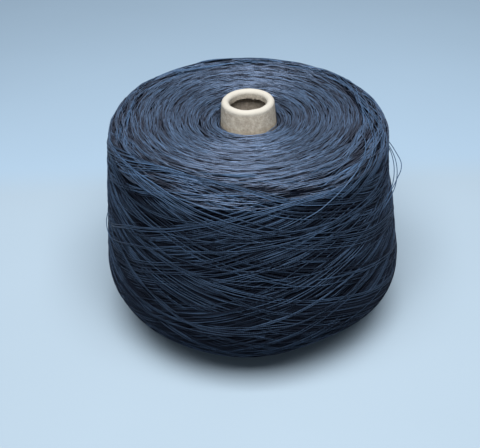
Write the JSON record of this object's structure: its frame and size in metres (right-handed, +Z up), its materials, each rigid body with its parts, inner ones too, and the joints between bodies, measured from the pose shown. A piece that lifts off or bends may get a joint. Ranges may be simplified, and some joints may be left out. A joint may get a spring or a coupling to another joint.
{
  "type": "thread cone",
  "caption": "Cross-wound cone of thread: a wound body on a tapered paperboard cone with a rolled nose and a turned-in lip, and slack strands at its edges.",
  "frame": {"origin": "centre of the paper cone's base, on the plane that it stands on", "axes": "+Z up along the cone's axis, from the base to the rolled nose; X and Y are any two directions across it"},
  "size_m": [0.2166, 0.2166, 0.17],
  "materials": {
    "board": "matte",
    "facing": "matte",
    "thread": "satin"
  },
  "bodies": {
    "root": {"cone_inner_ply": "board", "cone_core_ply": "board", "cone_outer_ply": "facing", "thread_package": "thread", "right_inner_loop": "thread", "right_middle_loop": "thread", "right_outer_loop": "thread", "left_loop": "thread", "shoulder_strand": "thread"}
  },
  "joints": []
}
